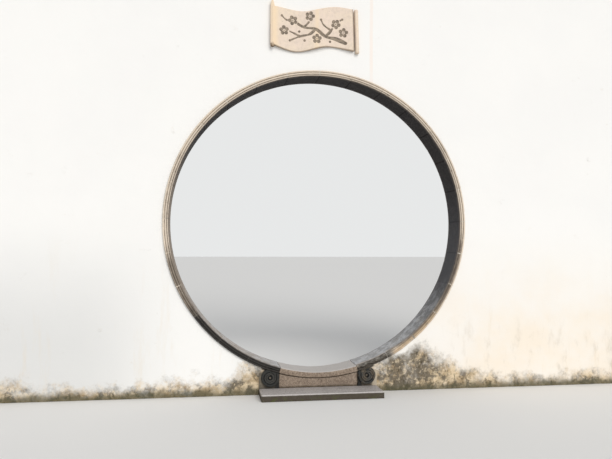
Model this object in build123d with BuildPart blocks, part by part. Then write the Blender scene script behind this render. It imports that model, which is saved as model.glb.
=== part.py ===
from build123d import *
from math import cos, degrees, radians, sin, tan
import os

# Moon gate: a round doorway in a white garden wall, ringed with moulded brick
# All sizes are millimetres. The origin is on the ground, under the ring's centre and in the
# middle of the wall's thickness. X runs along the wall, Y goes back through the gate, Z is up.

# Round opening and the moulding of its brick ring, band by band from the outer edge inwards
clear_diameter = 2500
bead_radius = 7  # thin outer bead
torus_radius = 8  # wide middle roll
groove_width = 4  # each of the two dark grooves
groove_relief = 1.5  # depth of the grooves below the springing of the rolls
round_radius = 12  # quarter round beside the passage
lip_proud = 25  # the ring stands out this far from the plaster, front and back
ring_bricks = 26
brick_joint = 1.5  # mortar joint between two ring bricks
sill_angle = 30  # degrees of the circle that the granite sill takes

# Garden wall
wall_length = 6000
wall_thickness = 230
wall_over_ring = 865  # masonry between the ring's top and the string course
crown_course = 65  # masonry between the ring's top and the wall that runs over the gate

# Granite sill and step
riser_height = 80  # step to the lowest point of the ring's outer circle
riser_proud = 10
sill_groove_width = 8
sill_groove_depth = 7
sill_wear = 9  # rounding of the trodden edges
step_height = 55
step_margin = 3  # the step runs this far past the feet at each end
step_depth = 245
step_arris = 6

# Volute feet under the two ends of the ring
volute_radius = 75
volute_rise = 15  # the scroll hangs this far above the step
volute_proud = 40
volute_arris = 5
volute_band = 22  # width of the outer turn
volute_shrink = 9  # loss of radius at each half turn
volute_half_turns = 5
volute_groove_width = 5
volute_groove_depth = 9
eye_radius = 8
foot_block_width = 165
foot_block_height = 132
foot_block_proud = 20

# Stone tablet in the form of an opened hand scroll
sheet_width = 720
sheet_height = 345
sheet_offset = -65  # the sheet's middle, left of the gate's centre line
sheet_rise = 352  # ring's top to the middle of the sheet
sheet_wave = 28  # rise and fall of the top and bottom edges
wave_trough = 240  # left edge to the low point of the wave
wave_crest = 550  # left edge to its high point
wave_slant = 42  # the top edge's wave lies this far right, the bottom edge's this far left
sheet_thin = 24  # thickness where the sheet lies deep
sheet_thick = 40  # thickness where it swells
tip_height = 62
tip_width = 46
curl_radius = 17
roller_radius = 19
roller_length = 382
roller_lean = 1.8  # degrees
roller_shadow = 11  # open joint between the sheet and the roller

# Coping: string course and frieze, corbelled core, tiles and ridge
string_height = 30
string_proud = 22
frieze_height = 190
frieze_proud = 6
corbel_height = 40
corbel_step = 35
coping_pitch = 28  # degrees
eaves_overhang = 45
tile_rows = 26
cover_radius = 84  # half-round cover tiles
tile_bed = 34  # pan tiles and their mortar bed
pan_radius = 70
pan_sag = 14
ridge_base_width = 90
ridge_base_height = 130
ridge_cap_radius = 72

fit_gap = 0.3  # clearance between a piece and its curved or plastered seat

# Sizes that follow from the ones above
ring_face = 2 * bead_radius + 2 * torus_radius + 2 * groove_width + round_radius
clear_radius = clear_diameter / 2
outer_radius = clear_radius + ring_face
centre_height = step_height + riser_height + outer_radius
wall_face = wall_thickness / 2
lip_face = wall_face + lip_proud
riser_face = wall_face + riser_proud
half_length = wall_length / 2
half_sill = sill_angle / 2
sill_half_width = outer_radius * sin(radians(half_sill))
step_length = 2 * (sill_half_width + fit_gap + foot_block_width + step_margin)
over_gate = centre_height + outer_radius + crown_course
wall_height = centre_height + outer_radius + wall_over_ring  # ground to string course


def save(piece, name):
    piece.part.label = name
    export_step(piece.part, f"parts/{name}.step")


def side_plane(side, distance, height=0.0):
    # An upright plane that faces away from the wall: side -1 is the front, +1 the back
    return Plane((0, side * distance, height), x_dir=(-side, 0, 0), z_dir=(0, side, 0))


os.makedirs("parts", exist_ok=True)


# Ring bricks: one moulded section, turned about the gate's axis
def radial_plane(angle):
    # Local x is the radius at this angle from straight down, local y is the wall's depth
    turn = radians(angle)
    return Plane((0, 0, centre_height), x_dir=(sin(turn), 0, -cos(turn)), z_dir=(cos(turn), 0, sin(turn)))


def ring_brick(start, sweep):
    groove_floor = lip_face - torus_radius - groove_relief
    bead_inner = outer_radius - 2 * bead_radius
    torus_outer = bead_inner - groove_width
    torus_inner = torus_outer - 2 * torus_radius
    round_outer = torus_inner - groove_width
    with BuildPart() as brick:
        with BuildSketch(radial_plane(start)):
            with BuildLine():
                Line((outer_radius, 0), (outer_radius, lip_face - bead_radius))
                ThreePointArc(
                    (outer_radius, lip_face - bead_radius),
                    (outer_radius - bead_radius, lip_face),
                    (bead_inner, lip_face - bead_radius),
                )
                Polyline(
                    (bead_inner, lip_face - bead_radius),
                    (bead_inner, groove_floor),
                    (torus_outer, groove_floor),
                    (torus_outer, lip_face - torus_radius),
                )
                ThreePointArc(
                    (torus_outer, lip_face - torus_radius),
                    (torus_outer - torus_radius, lip_face),
                    (torus_inner, lip_face - torus_radius),
                )
                Polyline(
                    (torus_inner, lip_face - torus_radius),
                    (torus_inner, groove_floor),
                    (round_outer, groove_floor),
                    (round_outer, lip_face),
                )
                RadiusArc((round_outer, lip_face), (clear_radius, lip_face - round_radius), -round_radius)
                Line((clear_radius, lip_face - round_radius), (clear_radius, 0))
                mirror(about=Plane.XZ)
            make_face()
        revolve(axis=Axis((0, 0, centre_height), (0, -1, 0)), revolution_arc=sweep)
    return brick


brick_pitch = (360 - sill_angle) / ring_bricks
joint_angle = degrees(brick_joint / outer_radius)
for number in range(ring_bricks):
    brick_start = half_sill + number * brick_pitch + joint_angle / 2
    save(ring_brick(brick_start, brick_pitch - joint_angle), f"ring_brick_{number + 1:02d}")


# Wall: a left and a right half with the round bite, and the run of wall over the gate
def wall_half(side):
    with BuildPart() as wall:
        with BuildSketch(Plane.XZ):
            with Locations((side * half_length / 2, over_gate / 2)):
                Rectangle(half_length, over_gate)
            with Locations((0, centre_height)):
                Circle(outer_radius + fit_gap, mode=Mode.SUBTRACT)
            with Locations((0, centre_height / 2)):
                Rectangle(2 * (sill_half_width + fit_gap), centre_height, mode=Mode.SUBTRACT)
        extrude(amount=wall_face, both=True)
    return wall


save(wall_half(-1), "wall_left")
save(wall_half(1), "wall_right")

with BuildPart() as wall_over_gate:
    with BuildSketch(Plane.XY.offset(over_gate)):
        Rectangle(wall_length, wall_thickness)
    extrude(amount=wall_height - over_gate)
save(wall_over_gate, "wall_over_gate")


# Sill stone: a riser block whose top carries on the ring's circle
def circle_point(radius, angle):
    # A point on a circle about the ring's centre, at an angle from straight down
    return (radius * sin(radians(angle)), centre_height - radius * cos(radians(angle)))


def sill_arc(radius):
    return ThreePointArc(
        circle_point(radius, -half_sill), circle_point(radius, 0), circle_point(radius, half_sill)
    )


with BuildPart() as sill_stone:
    with BuildSketch(Plane.XZ):
        with BuildLine():
            sill_arc(clear_radius)
            Polyline(
                circle_point(clear_radius, half_sill),
                circle_point(outer_radius, half_sill),
                (sill_half_width, 0),
                (-sill_half_width, 0),
                circle_point(outer_radius, -half_sill),
                circle_point(clear_radius, -half_sill),
            )
        make_face()
    extrude(amount=riser_face, both=True)
    with BuildSketch(Plane.XZ):
        with BuildLine():
            sill_arc(clear_radius)
            Line(circle_point(clear_radius, half_sill), circle_point(outer_radius, half_sill))
            sill_arc(outer_radius)
            Line(circle_point(clear_radius, -half_sill), circle_point(outer_radius, -half_sill))
        make_face()
    extrude(amount=lip_face, both=True)
    trodden = sill_stone.edges().filter_by(GeomType.CIRCLE)
    fillet(
        trodden.filter_by(lambda e: abs(e.radius - clear_radius) < 1 and abs(abs(e.center().Y) - lip_face) < 1),
        radius=sill_wear,
    )
    for side in (-1, 1):
        with BuildSketch(side_plane(side, riser_face)):
            with Locations((0, centre_height)):
                Circle(outer_radius + sill_groove_width)
                Circle(outer_radius, mode=Mode.SUBTRACT)
        extrude(amount=-sill_groove_depth, mode=Mode.SUBTRACT)
save(sill_stone, "sill_stone")


# Steps: one granite slab on each side, against the riser
def step(side):
    with BuildPart() as slab:
        with BuildSketch(side_plane(side, riser_face + fit_gap)):
            with Locations((0, step_height / 2)):
                Rectangle(step_length, step_height)
        extrude(amount=step_depth)
        fillet(slab.faces().sort_by(Axis.Z)[-1].edges(), radius=step_arris)
    return slab


save(step(-1), "step_front")
save(step(1), "step_back")


# Volute feet: a block with a round scroll whose outer turn runs down from the ring's end
def volute_foot(side, hand):
    # Seen from its own side of the wall, hand -1 is the left foot and +1 the right one
    seat = sill_half_width + fit_gap
    centre_x = seat + volute_radius
    centre_z = step_height + volute_rise + volute_radius
    with BuildPart() as foot:
        with BuildSketch(side_plane(side, wall_face + fit_gap)):
            with Locations((hand * (seat + foot_block_width / 2), step_height + foot_block_height / 2)):
                Rectangle(foot_block_width, foot_block_height)
            with Locations((0, centre_height)):
                Circle(outer_radius + fit_gap, mode=Mode.SUBTRACT)
        extrude(amount=foot_block_proud)
        with BuildSketch(side_plane(side, wall_face + fit_gap)):
            with Locations((hand * centre_x, centre_z)):
                Circle(volute_radius)
            with Locations((hand * (seat + volute_radius / 2), centre_z + volute_radius / 2)):
                Rectangle(volute_radius, volute_radius)
            with Locations((0, centre_height)):
                Circle(outer_radius + fit_gap, mode=Mode.SUBTRACT)
        extrude(amount=volute_proud)
        front = foot.faces().filter_by(Axis.Y).sort_by(Axis.Y)[-1 if side > 0 else 0]
        fillet(front.outer_wire().edges(), radius=volute_arris)
        with BuildSketch(side_plane(side, wall_face + fit_gap + volute_proud)):
            with BuildLine():
                reach = volute_radius - volute_band
                inner_x = centre_x - reach
                Line((hand * inner_x, centre_z + volute_radius), (hand * inner_x, centre_z))
                for half_turn in range(volute_half_turns):
                    radius = reach - half_turn * volute_shrink
                    toward = 1 if half_turn % 2 == 0 else -1
                    end_x = inner_x + toward * 2 * radius
                    ThreePointArc(
                        (hand * inner_x, centre_z),
                        (hand * (inner_x + end_x) / 2, centre_z - toward * radius),
                        (hand * end_x, centre_z),
                    )
                    inner_x = end_x
            trace(line_width=volute_groove_width)
            with Locations((hand * centre_x, centre_z)):
                Circle(eye_radius)
        extrude(amount=-volute_groove_depth, mode=Mode.SUBTRACT)
    return foot


save(volute_foot(-1, -1), "foot_front_left")
save(volute_foot(-1, 1), "foot_front_right")
save(volute_foot(1, 1), "foot_back_left")
save(volute_foot(1, -1), "foot_back_right")

# Scroll tablet: the sheet's wavy plan, cut to its wavy outline, with a small roll at its left
sheet_left = sheet_offset - sheet_width / 2
sheet_right = sheet_offset + sheet_width / 2
sheet_middle = centre_height + outer_radius + sheet_rise
sheet_top = sheet_middle + sheet_height / 2
sheet_bottom = sheet_middle - sheet_height / 2
sheet_back = wall_face + fit_gap
trough_x = sheet_left + wave_trough
crest_x = sheet_left + wave_crest
fold_x = (trough_x + crest_x) / 2
lean = tan(radians(roller_lean))


def sheet_point(x, thickness):
    return (x, -sheet_back - thickness)


with BuildPart() as tablet_sheet:
    with BuildSketch(Plane.XY.offset(sheet_bottom - sheet_wave)):
        with BuildLine():
            Spline(
                sheet_point(sheet_left, sheet_thick),
                sheet_point(trough_x, sheet_thin),
                sheet_point(fold_x, sheet_thick),
                sheet_point(crest_x, sheet_thin),
                sheet_point(sheet_right, sheet_thick),
            )
            Polyline(
                sheet_point(sheet_right, sheet_thick),
                sheet_point(sheet_right, 0),
                sheet_point(sheet_left, 0),
                sheet_point(sheet_left, sheet_thick),
            )
        make_face()
    extrude(amount=sheet_height + 2 * sheet_wave + tip_height)
    with BuildSketch(Plane.XZ):
        top_right = (sheet_right - lean * sheet_height, sheet_top + sheet_wave / 3)
        with BuildLine():
            Polyline(
                (sheet_left, sheet_bottom + sheet_wave),
                (sheet_left, sheet_top),
                (sheet_left + curl_radius, sheet_top + tip_height),
                (sheet_left + tip_width, sheet_top),
            )
            Spline(
                (sheet_left + tip_width, sheet_top),
                (trough_x + wave_slant, sheet_top - sheet_wave),
                (crest_x + wave_slant, sheet_top + sheet_wave),
                top_right,
            )
            Line(top_right, (sheet_right, sheet_bottom))
            Spline(
                (sheet_right, sheet_bottom),
                (crest_x - wave_slant, sheet_bottom + sheet_wave),
                (trough_x - wave_slant, sheet_bottom - sheet_wave),
                (sheet_left, sheet_bottom + sheet_wave),
            )
        make_face()
    extrude(amount=sheet_back + 2 * sheet_thick, mode=Mode.INTERSECT)
    with BuildSketch(Plane.XY.offset(sheet_bottom)):
        with Locations((sheet_left + curl_radius, -sheet_back - sheet_thick + curl_radius / 2)):
            Circle(curl_radius)
    extrude(amount=sheet_height)
save(tablet_sheet, "tablet_sheet")

# The tablet's roller leans a little and stands clear of the sheet by a shadow joint
roller_turn = radians(roller_lean)
roller_foot = sheet_bottom - (roller_length - sheet_height) + sheet_wave / 2
roller_plane = Plane(
    (sheet_right + roller_shadow + roller_radius, -sheet_back - roller_radius, roller_foot),
    x_dir=(cos(roller_turn), 0, sin(roller_turn)),
    z_dir=(-sin(roller_turn), 0, cos(roller_turn)),
)
with BuildPart() as tablet_roller:
    with BuildSketch(roller_plane):
        Circle(roller_radius)
    extrude(amount=roller_length)
    fillet(tablet_roller.edges().filter_by(GeomType.CIRCLE), radius=roller_radius / 3)
save(tablet_roller, "tablet_roller")

# Frieze: a thin string course with the plastered band above it, front and back alike
frieze_top = wall_height + string_height + frieze_height
with BuildPart() as frieze:
    with BuildSketch(Plane.YZ):
        with Locations((0, wall_height)):
            Rectangle(wall_thickness + 2 * string_proud, string_height, align=(Align.CENTER, Align.MIN))
        with Locations((0, wall_height + string_height)):
            Rectangle(wall_thickness + 2 * frieze_proud, frieze_height, align=(Align.CENTER, Align.MIN))
    extrude(amount=half_length, both=True)
save(frieze, "frieze")

# Coping core: two corbelled courses and a ridged bed that carries the tiles
slope = radians(coping_pitch)
eaves_half = wall_face + 2 * corbel_step
ridge_half = ridge_base_width / 2
core_eaves = frieze_top + 2 * corbel_height
core_top = core_eaves + (eaves_half - ridge_half) * tan(slope)
with BuildPart() as coping_core:
    with BuildSketch(Plane.YZ):
        with Locations((0, frieze_top)):
            Rectangle(2 * (wall_face + corbel_step), corbel_height, align=(Align.CENTER, Align.MIN))
        with BuildLine():
            Polyline(
                (-eaves_half, core_eaves - corbel_height),
                (eaves_half, core_eaves - corbel_height),
                (eaves_half, core_eaves),
                (ridge_half, core_top),
                (-ridge_half, core_top),
                (-eaves_half, core_eaves),
                close=True,
            )
        make_face()
    extrude(amount=half_length, both=True)
save(coping_core, "coping_core")


# Tiled slopes: rows of half-round cover tiles over dished pans, run down from the ridge
def tile_slope(side):
    run = eaves_half + eaves_overhang - ridge_half
    lap = (tile_bed + cover_radius) * tan(slope)
    pitch = wall_length / tile_rows
    top = Plane(
        (0, side * (ridge_half + fit_gap), core_top),
        x_dir=(-side, 0, 0),
        z_dir=(0, side * cos(slope), -sin(slope)),
    )
    with BuildPart() as tiles:
        with BuildSketch(top.offset(-lap)):
            Rectangle(wall_length, tile_bed, align=(Align.CENTER, Align.MIN))
            with Locations((0, tile_bed + pan_radius - pan_sag)):
                with GridLocations(pitch, 1, tile_rows + 1, 1):
                    Circle(pan_radius, mode=Mode.SUBTRACT)
            with GridLocations(pitch, 1, tile_rows, 1):
                Circle(cover_radius)
            Rectangle(wall_length, 2 * cover_radius, align=(Align.CENTER, Align.MAX), mode=Mode.SUBTRACT)
        extrude(amount=lap + run / cos(slope))
        split(bisect_by=side_plane(side, ridge_half + fit_gap), keep=Keep.TOP)
    return tiles


save(tile_slope(-1), "tile_slope_front")
save(tile_slope(1), "tile_slope_back")

# Ridge: a plastered band with a line of half-round ridge tiles on it
ridge_seat = core_top + ridge_base_height
with BuildPart() as ridge_base:
    with BuildSketch(Plane.XY.offset(core_top)):
        Rectangle(wall_length, ridge_base_width)
    extrude(amount=ridge_base_height)
save(ridge_base, "ridge_base")

with BuildPart() as ridge_cap:
    with BuildSketch(Plane.YZ):
        with Locations((0, ridge_seat)):
            Circle(ridge_cap_radius)
            Rectangle(
                2 * ridge_cap_radius, ridge_cap_radius, align=(Align.CENTER, Align.MAX), mode=Mode.SUBTRACT
            )
    extrude(amount=half_length, both=True)
save(ridge_cap, "ridge_cap")
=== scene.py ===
import math
import random

import bmesh
import bpy
import numpy as np
from mathutils import Euler, Matrix, Vector, noise


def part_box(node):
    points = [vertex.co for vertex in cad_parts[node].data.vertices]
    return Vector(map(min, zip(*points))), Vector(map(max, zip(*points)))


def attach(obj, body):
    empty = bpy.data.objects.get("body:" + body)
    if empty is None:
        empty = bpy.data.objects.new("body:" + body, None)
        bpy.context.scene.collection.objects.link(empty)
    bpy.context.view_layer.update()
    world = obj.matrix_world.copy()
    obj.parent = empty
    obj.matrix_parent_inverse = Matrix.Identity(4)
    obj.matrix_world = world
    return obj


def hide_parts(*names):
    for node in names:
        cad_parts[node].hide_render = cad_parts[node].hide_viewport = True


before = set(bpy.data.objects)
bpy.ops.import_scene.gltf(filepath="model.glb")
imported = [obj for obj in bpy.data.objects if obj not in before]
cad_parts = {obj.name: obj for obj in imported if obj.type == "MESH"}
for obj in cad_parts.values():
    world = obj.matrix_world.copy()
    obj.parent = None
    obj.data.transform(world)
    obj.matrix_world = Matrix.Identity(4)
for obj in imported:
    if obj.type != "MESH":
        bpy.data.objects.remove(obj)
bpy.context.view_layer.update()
random.seed(11)
print("frame loaded:", len(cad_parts), "pieces")

# places that everything else is measured from
ringNames = sorted(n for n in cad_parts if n.startswith("ring_brick_"))
ringOuter = max(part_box(n)[1].x for n in ringNames)
ringHeight = max(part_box(n)[1].z for n in ringNames) - ringOuter  # height of the round's centre
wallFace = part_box("wall_left")[1].y
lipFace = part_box(ringNames[0])[1].y
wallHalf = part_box("wall_right")[1].x
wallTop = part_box("wall_over_gate")[1].z
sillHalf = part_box("sill_stone")[1].x
seatGap = 0.0003  # room between a piece and what it sits in

photoCamera = {
    "place": (-0.941, -5.395, 1.250),  # standing eye height, a little left of the gate
    "lens": 37.16,
    "yaw": 8.93,
    "pitch": 1.39,
    "roll": 0.24,
    "clipEnd": 200,
}

light = {
    "sunFrom": (1.3, -4.6, 2.8),
    "sunStrength": 1.93,
    "sunSpread": 40,
    "sunColour": (1.0, 0.975, 0.94),
    "skyColour": (0.93, 0.96, 1.0, 1),
    "skyStrength": 0.52,
    "backColour": (0.80, 0.81, 0.81, 1),
    "floorColour": (0.80, 0.79, 0.77, 1),
    "floorRoughness": 0.9,
    "floorGloss": 0.1,
    "floorSize": 60,
}


def addThing(name, data):
    thing = bpy.data.objects.new(name, data)
    bpy.context.scene.collection.objects.link(thing)
    return thing


def addNode(tree, kind, sockets=None, **settings):
    node = tree.nodes.new(kind)
    for name, value in settings.items():
        setattr(node, name, value)
    for name, value in (sockets or {}).items():
        if isinstance(value, bpy.types.NodeSocket):
            tree.links.new(value, node.inputs[name])
        else:
            node.inputs[name].default_value = value
    return node


def newMaterial(name, colour, roughness, gloss):
    material = bpy.data.materials.new(name)
    material.use_nodes = True
    shader = material.node_tree.nodes["Principled BSDF"]
    shader.inputs["Base Color"].default_value = colour
    shader.inputs["Roughness"].default_value = roughness
    shader.inputs["Specular IOR Level"].default_value = gloss
    return material, shader


def makeCamera():
    data = bpy.data.cameras.new("photoCamera")
    data.lens = photoCamera["lens"]
    data.clip_end = photoCamera["clipEnd"]
    camera = addThing("photoCamera", data)
    turn = Euler((math.radians(90 + photoCamera["pitch"]), 0, math.radians(-photoCamera["yaw"])))
    roll = Matrix.Rotation(math.radians(photoCamera["roll"]), 3, "Z")
    camera.rotation_euler = (turn.to_matrix() @ roll).to_euler()
    camera.location = photoCamera["place"]
    bpy.context.scene.camera = camera


def makeStudio():
    sun = bpy.data.lights.new("softSun", "SUN")
    sun.energy = light["sunStrength"]
    sun.angle = math.radians(light["sunSpread"])
    sun.color = light["sunColour"]
    lamp = addThing("softSun", sun)
    lamp.rotation_euler = Vector(light["sunFrom"]).to_track_quat("Z", "Y").to_euler()

    world = bpy.data.worlds.new("studio")
    world.use_nodes = True
    bpy.context.scene.world = world
    tree = world.node_tree
    sky = tree.nodes["Background"]
    sky.inputs["Color"].default_value = light["skyColour"]
    sky.inputs["Strength"].default_value = light["skyStrength"]
    plain = addNode(tree, "ShaderNodeBackground", {"Color": light["backColour"]})
    path = addNode(tree, "ShaderNodeLightPath").outputs
    rays = {0: path["Is Camera Ray"], 1: path["Is Glossy Ray"]}
    seen = addNode(tree, "ShaderNodeMath", rays, operation="MAXIMUM")
    both = addNode(tree, "ShaderNodeMixShader", {0: seen.outputs[0], 1: sky.outputs[0], 2: plain.outputs[0]})
    tree.links.new(both.outputs[0], tree.nodes["World Output"].inputs["Surface"])

    s = light["floorSize"]
    mesh = bpy.data.meshes.new("floor")
    mesh.from_pydata([(-s, -s, 0), (s, -s, 0), (s, s, 0), (-s, s, 0)], [], [(0, 1, 2, 3)])
    looks = [light[k] for k in ("floorColour", "floorRoughness", "floorGloss")]
    mesh.materials.append(newMaterial("floorPaint", *looks)[0])
    floor = addThing("floor", mesh)


bpy.context.scene.view_settings.view_transform = "Standard"
makeCamera()
makeStudio()
print("camera and studio ready")


# node work for the finishes: places are in metres in the gate's own frame
class Finish:
    def __init__(self, name, roughness, gloss=0.25):
        self.material, self.shader = newMaterial(name, (0.8, 0.8, 0.8, 1), roughness, gloss)
        self.tree = self.material.node_tree
        self.place = self.add("ShaderNodeTexCoord").outputs["Object"]
        self.x, self.y, self.z = self.add("ShaderNodeSeparateXYZ", {0: self.place}).outputs

    def add(self, kind, sockets=None, **settings):
        return addNode(self.tree, kind, sockets, **settings)

    def calc(self, operation, first, second=0.0):
        return self.add("ShaderNodeMath", {0: first, 1: second}, operation=operation).outputs[0]

    def plus(self, first, second):
        return self.calc("ADD", first, second)

    def minus(self, first, second):
        return self.calc("SUBTRACT", first, second)

    def times(self, *values):
        total = values[0]
        for value in values[1:]:
            total = self.calc("MULTIPLY", total, value)
        return total

    def off(self, value, middle=0.0):
        return self.calc("ABSOLUTE", self.minus(value, middle))

    def reach(self):
        # distance from the middle of the round
        up = self.minus(self.z, ringHeight)
        return self.calc("SQRT", self.plus(self.times(self.x, self.x), self.times(up, up)))

    def ramp(self, value, low, high, start=0.0, end=1.0):
        sockets = {"Value": value, "From Min": low, "From Max": high, "To Min": start, "To Max": end}
        return self.add("ShaderNodeMapRange", sockets, interpolation_type="SMOOTHSTEP").outputs[0]

    def stretched(self, stretch, shift=(0, 0, 0)):
        return self.add("ShaderNodeMapping", {0: self.place, "Location": shift, "Scale": stretch}).outputs[0]

    def grain(self, scale, detail=5, rough=0.6, stretch=(1, 1, 1), shift=(0, 0, 0)):
        place = self.stretched(stretch, shift)
        sockets = {"Vector": place, "Scale": scale, "Detail": detail, "Roughness": rough}
        return self.add("ShaderNodeTexNoise", sockets).outputs[0]

    def specks(self, scale, size, shift=(0, 0, 0)):
        sockets = {"Vector": self.stretched((1, 1, 1), shift), "Scale": scale}
        return self.ramp(self.add("ShaderNodeTexVoronoi", sockets).outputs["Distance"], size, size * 0.4)

    def trait(self, name):
        return self.add("ShaderNodeAttribute", attribute_name=name).outputs["Fac"]

    def mix(self, amount, first, second, blend="MIX"):
        sockets = {0: amount}
        for key, colour in ((6, first), (7, second)):
            sockets[key] = colour if isinstance(colour, bpy.types.NodeSocket) else (*colour, 1)
        return self.add("ShaderNodeMix", sockets, data_type="RGBA", blend_type=blend).outputs[2]

    def layers(self, colour, *coats):
        # each coat is what its share is multiplied from, and last its colour
        for *shares, coat in coats:
            colour = self.mix(self.times(*shares), colour, coat)
        return colour

    def bump(self, height, distance, strength=1.0):
        sockets = {"Height": height, "Distance": distance, "Strength": strength}
        last = self.shader.inputs["Normal"].links
        if last:
            sockets["Normal"] = last[0].from_socket
        self.tree.links.new(self.add("ShaderNodeBump", sockets).outputs[0], self.shader.inputs["Normal"])

    def paint(self, colour, roughness=None):
        self.tree.links.new(colour, self.shader.inputs["Base Color"])
        if roughness is not None:
            self.tree.links.new(roughness, self.shader.inputs["Roughness"])
        return self.material


limePlaster = {
    "white": (0.905, 0.897, 0.875),
    "chalk": (0.885, 0.878, 0.86),
    "paintedShadeGrey": (0.60, 0.605, 0.60),
    "warmCream": (0.895, 0.80, 0.672),
    "ochre": (0.42, 0.29, 0.15),
    "tan": (0.43, 0.325, 0.20),
    "wetGrey": (0.135, 0.118, 0.092),
    "bareCream": (0.72, 0.585, 0.40),
    "freshCream": (0.80, 0.665, 0.47),
    "dirt": (0.070, 0.055, 0.034),
    "smudge": (0.55, 0.48, 0.38),
    "footMoss": (0.09, 0.085, 0.05),
    "paintedCornerShade": (0.030, 0.025, 0.020),
    "seamPink": (0.91, 0.79, 0.70),
    "seamPlace": 0.455,  # a mended crack above the ring
    "seamWidth": 0.021,
    "dampPlace": 0.78,  # middle of the darkest damp, right of the gate
}


def plasterFinish():
    f = Finish("limePlaster", 0.92, 0.12)
    p = limePlaster
    damp = f.trait("damp")
    warm = f.times(f.ramp(f.z, 1.5, 0.3), f.ramp(f.x, 0.4, 1.5))
    blotch = f.ramp(f.grain(2.4, 4, shift=(3, 0, 1)), 0.3, 0.75)
    runs = f.ramp(f.grain(5, 5, 0.65, stretch=(1.6, 1, 0.22)), 0.56, 0.78)

    # damp rising from the ground, in soft blotches of grey, tan and ochre with pale bare spots
    near = f.ramp(f.off(f.x, p["dampPlace"]), 0.42, 0.08, 0.0, 0.12)
    grey = f.plus(f.grain(8, 7, 0.66, shift=(1, 9, 4)), near)
    bare = f.ramp(f.grain(26, 5, 0.68, shift=(2, 2, 2)), 0.51, 0.64)
    bare = f.times(bare, f.ramp(f.z, 0.38, 0.22, 0.1, 0.6))
    spotted = f.grain(18, 6, 0.7, stretch=(1.2, 1, 0.75), shift=(7, 3, 5))
    patch = f.layers(
        p["tan"],
        (f.ramp(f.grain(8, 6, 0.64), 0.42, 0.6), p["bareCream"]),
        (f.ramp(f.grain(15, 6, 0.7, shift=(5, 2, 0)), 0.55, 0.68, 0, 0.8), p["ochre"]),
        (f.ramp(grey, 0.48, 0.60, 0, 0.9), p["wetGrey"]),
        (bare, p["freshCream"]),
        (f.ramp(spotted, 0.50, 0.64, 0, 0.8), p["dirt"]),
    )
    ragged = f.minus(f.plus(f.grain(7, 7, 0.62), f.times(f.grain(38, 4, 0.7), 0.35)), 0.675)
    smudge = f.times(f.ramp(f.grain(6, 6, 0.66, stretch=(1.5, 1, 0.6), shift=(8, 1, 1)), 0.5, 0.72), 0.5)
    foot = f.ramp(f.plus(f.z, f.times(f.grain(9, 5), -0.12)), 0.02, -0.045)

    # painted shade in the corner between the ring and the feet, and the mended crack that runs up from the
    # ring
    corner = f.times(f.ramp(f.off(f.x), 0.50, 0.47), f.ramp(f.z, 0.34, 0.30))
    corner = f.times(corner, f.ramp(f.reach(), ringOuter + 0.020, ringOuter + 0.008))
    sway = f.times(f.minus(f.grain(2.5, 2, stretch=(0, 0, 1)), 0.5), 0.012)
    seam = f.ramp(f.off(f.minus(f.x, p["seamPlace"]), sway), p["seamWidth"], p["seamWidth"] * 0.35)
    seam = f.times(seam, f.ramp(f.z, 2.3, 2.4), f.ramp(f.y, 0, -0.05))

    f.bump(f.grain(14, 4, 0.55), 0.003, 0.35)
    f.bump(f.grain(160, 3, 0.6), 0.0008, 0.35)
    f.bump(f.times(damp, f.grain(45, 6, 0.7)), 0.007, 0.8)
    return f.paint(f.layers(
        p["white"],
        (f.ramp(f.grain(1.1, 3), 0.35, 0.7), p["chalk"]),
        # painted shade on the lower left of the wall
        (f.ramp(f.z, 1.6, 0.35), f.ramp(f.x, -0.95, -2.0), 0.62, p["paintedShadeGrey"]),
        (warm, f.plus(f.times(blotch, 0.5), 0.4), p["warmCream"]),
        (runs, f.ramp(f.z, 1.6, 0.2), 0.28, p["bareCream"]),
        (f.ramp(f.plus(damp, f.times(ragged, 1.5)), 0.22, 0.98), patch),
        (smudge, f.ramp(f.z, 0.75, 0.25), f.ramp(f.x, 0.75, 1.1), p["smudge"]),
        (foot, 0.8, p["footMoss"]),
        # painted shade in the corner between the ring and the feet
        (corner, 0.9, p["paintedCornerShade"]),
        (seam, f.ramp(f.grain(3.5, 3), 0.25, 0.6, 0.2, 0.5), p["seamPink"]),
    ))


ringClay = {
    "faceBrown": (0.30, 0.25, 0.20),
    "faceBeige": (0.64, 0.55, 0.45),
    "faceDull": (0.17, 0.145, 0.12),
    "rimHighlight": (0.80, 0.69, 0.565),
    "grooveShade": (0.22, 0.178, 0.142),
    "shadyBrown": (0.125, 0.10, 0.078),
    "darkDampAndShade": (0.019, 0.018, 0.0175),
    "golden": (0.64, 0.48, 0.31),
    "rubbedDark": (0.070, 0.064, 0.056),
    "rubbedPale": (0.22, 0.21, 0.19),
    "rubbedRimShade": (0.028, 0.024, 0.018),
    "insideTopShade": (0.020, 0.0165, 0.0165),  # painted shade inside at the top
    "insideSideShade": (0.075, 0.073, 0.078),
    "insideLeftLight": (0.42, 0.345, 0.275),
    # painted light on the lower inside of the round
    "trodden": (0.37, 0.365, 0.36),
    "paleGrey": (0.66, 0.66, 0.67),
    "greyPatch": (0.16, 0.15, 0.14),
    "frontGrey": (0.165, 0.137, 0.117),
    "puttyDull": (0.36, 0.32, 0.275),
    "putty": (0.47, 0.425, 0.36),
    "puttyPale": (0.68, 0.63, 0.55),
    "puttyDampAndShade": (0.040, 0.038, 0.035),
}


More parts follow.
